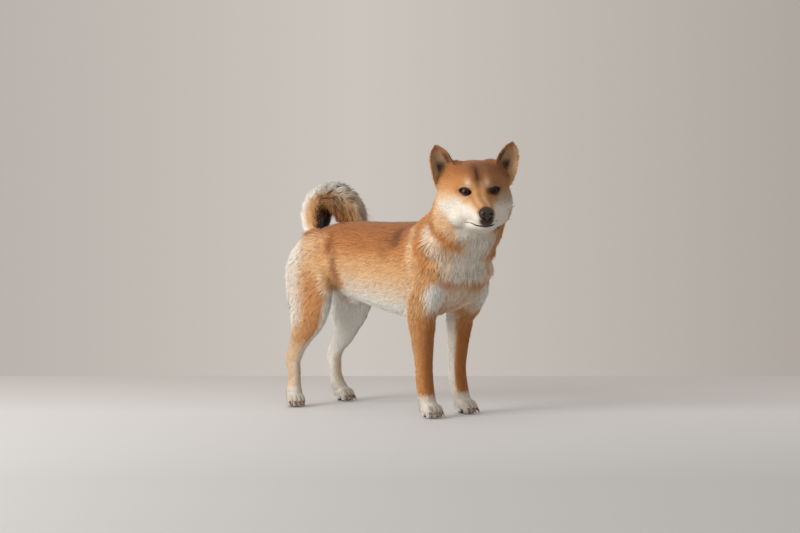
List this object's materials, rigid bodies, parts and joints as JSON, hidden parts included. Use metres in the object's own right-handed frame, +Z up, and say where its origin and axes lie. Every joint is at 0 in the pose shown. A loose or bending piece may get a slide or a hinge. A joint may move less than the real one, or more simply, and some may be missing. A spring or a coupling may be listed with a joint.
{
  "type": "standing dog",
  "caption": "Standing shiba inu with pricked ears, its head turned to its right and its bushy tail curled over its back.",
  "frame": {"origin": "middle of the dog's bounding box, at the level of its soles", "axes": "+X forwards along the dog's body, +Y to its left, +Z up"},
  "size_m": [0.6286, 0.2106, 0.5461],
  "materials": {
    "coat_red": "short orange-red fur",
    "coat_cream": "short cream fur",
    "coat_tail": "bushy fur, cream to red",
    "nose_leather": "moist dark nose",
    "eye_dark": "wet dark eye",
    "claw_horn": "horn"
  },
  "bodies": {
    "root": {"claw_front_left_1": "claw_horn", "claw_front_left_2": "claw_horn", "claw_front_left_3": "claw_horn", "claw_front_left_4": "claw_horn", "claw_front_right_1": "claw_horn", "claw_front_right_2": "claw_horn", "claw_front_right_3": "claw_horn", "claw_front_right_4": "claw_horn", "claw_hind_left_1": "claw_horn", "claw_hind_left_2": "claw_horn", "claw_hind_left_3": "claw_horn", "claw_hind_left_4": "claw_horn", "claw_hind_right_1": "claw_horn", "claw_hind_right_2": "claw_horn", "claw_hind_right_3": "claw_horn", "claw_hind_right_4": "claw_horn", "ear_left": "coat_red", "ear_right": "coat_red", "eye_left": "eye_dark", "eye_right": "eye_dark", "head": "coat_red", "leg_front_left": "coat_red", "leg_front_right": "coat_red", "leg_hind_left": "coat_red", "leg_hind_right": "coat_red", "lower_jaw": "coat_cream", "neck": "coat_red", "nose": "nose_leather", "paw_front_left": "coat_cream", "paw_front_right": "coat_cream", "paw_hind_left": "coat_cream", "paw_hind_right": "coat_cream", "tail_base": "coat_tail", "tail_tip": "coat_tail", "torso": "coat_red"}
  },
  "joints": []
}
